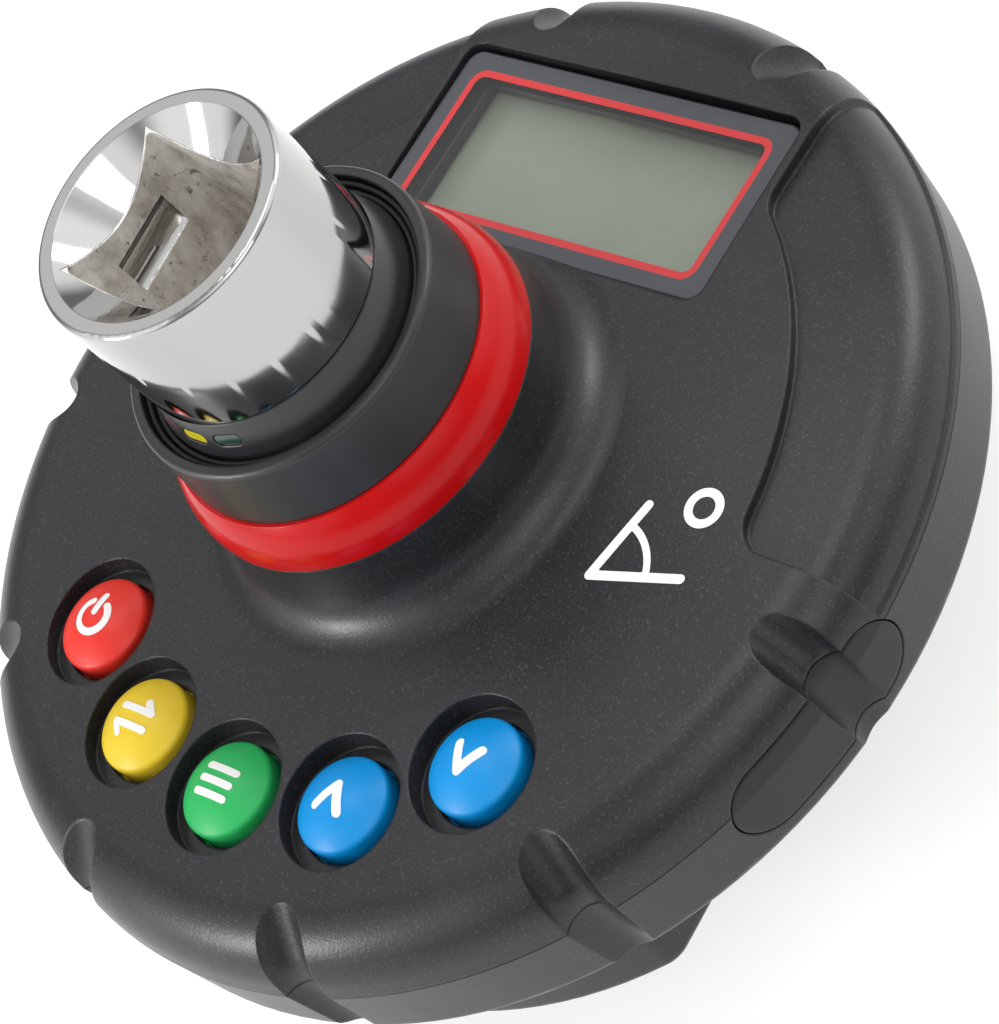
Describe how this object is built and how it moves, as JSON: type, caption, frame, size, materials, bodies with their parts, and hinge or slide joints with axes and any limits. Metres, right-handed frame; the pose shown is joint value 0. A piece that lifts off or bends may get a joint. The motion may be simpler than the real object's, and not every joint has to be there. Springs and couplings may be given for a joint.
{
  "type": "digital torque adapter",
  "caption": "Round digital torque adapter: chromed head with a square socket on a neck, display and coloured keys on a dark disc, and a square drive below.",
  "frame": {"origin": "centre of the end face of the output drive square", "axes": "+Z along the shaft from the drive square to the socket mouth, +Y towards the top of the display, +X towards its right end"},
  "size_m": [0.09, 0.09, 0.08],
  "materials": {
    "chromed_steel": "polished chrome",
    "bearing_steel": "polished",
    "spring_steel": "bright",
    "gauge_foil": "satin foil",
    "plated_steel": "zinc plated",
    "bush_plastic": "moulded",
    "casing_plastic": "fine spark texture",
    "collar_plastic": "satin",
    "band_plastic": "gloss",
    "ring_plastic": "satin",
    "seal_rubber": "satin",
    "lens_red": "gloss",
    "lens_yellow": "gloss",
    "lens_green": "gloss",
    "window_plastic": "tinted gloss",
    "lcd_glass": "satin glass",
    "key_red": "satin",
    "key_yellow": "satin",
    "key_green": "satin",
    "key_blue": "satin",
    "board_laminate": "solder mask",
    "component_plastic": "moulded",
    "cover_rubber": "satin",
    "cell_jacket": "plain sleeve",
    "screw_steel": "blackened"
  },
  "bodies": {
    "housing": {"drive_shaft": "chromed_steel", "detent_spring": "spring_steel", "strain_gauges": "gauge_foil", "lock_plate": "plated_steel", "shaft_key": "plated_steel", "retaining_rings": "spring_steel", "plate_screws": "plated_steel", "front_bush": "bush_plastic", "rear_bush": "bush_plastic", "front_casing": "casing_plastic", "rear_casing": "casing_plastic", "neck_collar": "collar_plastic", "red_band": "band_plastic", "indicator_ring": "ring_plastic", "dust_ring": "seal_rubber", "lip_ring": "seal_rubber", "lens_red": "lens_red", "lens_yellow": "lens_yellow", "lens_green": "lens_green", "display_window": "window_plastic", "lcd_panel": "lcd_glass", "lcd_frame": "bush_plastic", "keypad_mat": "seal_rubber", "dome_switches": "plated_steel", "main_board": "board_laminate", "buzzer": "component_plastic", "controller_chip": "component_plastic", "port_jack": "plated_steel", "battery_cover": "casing_plastic", "battery_cells": "cell_jacket", "battery_contacts": "spring_steel", "casing_screws": "screw_steel", "cover_screws": "screw_steel"},
    "key_clear": {"key_clear": "key_red"},
    "key_units": {"key_units": "key_yellow"},
    "key_memory": {"key_memory": "key_green"},
    "key_up": {"key_up": "key_blue"},
    "key_down": {"key_down": "key_blue"},
    "detent_ball": {"detent_ball": "bearing_steel"},
    "port_cover": {"port_cover": "cover_rubber"}
  },
  "joints": [
    {"name": "key_clear_press", "type": "slide", "parent": "housing", "child": "key_clear", "axis": [0, 0, -1], "range_m": [0, 0.0008], "stiffness_N_per_m": 900, "springref_m": -0.0004},
    {"name": "key_units_press", "type": "slide", "parent": "housing", "child": "key_units", "axis": [0, 0, -1], "range_m": [0, 0.0008], "stiffness_N_per_m": 900, "springref_m": -0.0004},
    {"name": "key_memory_press", "type": "slide", "parent": "housing", "child": "key_memory", "axis": [0, 0, -1], "range_m": [0, 0.0008], "stiffness_N_per_m": 900, "springref_m": -0.0004},
    {"name": "key_up_press", "type": "slide", "parent": "housing", "child": "key_up", "axis": [0, 0, -1], "range_m": [0, 0.0008], "stiffness_N_per_m": 900, "springref_m": -0.0004},
    {"name": "key_down_press", "type": "slide", "parent": "housing", "child": "key_down", "axis": [0, 0, -1], "range_m": [0, 0.0008], "stiffness_N_per_m": 900, "springref_m": -0.0004},
    {"name": "detent_press", "type": "slide", "parent": "housing", "child": "detent_ball", "axis": [-1, 0, 0], "range_m": [0, 0.00085], "stiffness_N_per_m": 4000, "springref_m": -0.0006},
    {"name": "port_cover_pull", "type": "slide", "parent": "housing", "child": "port_cover", "axis": [0.9799, -0.1994, 0], "range_m": [0, 0.006]}
  ]
}
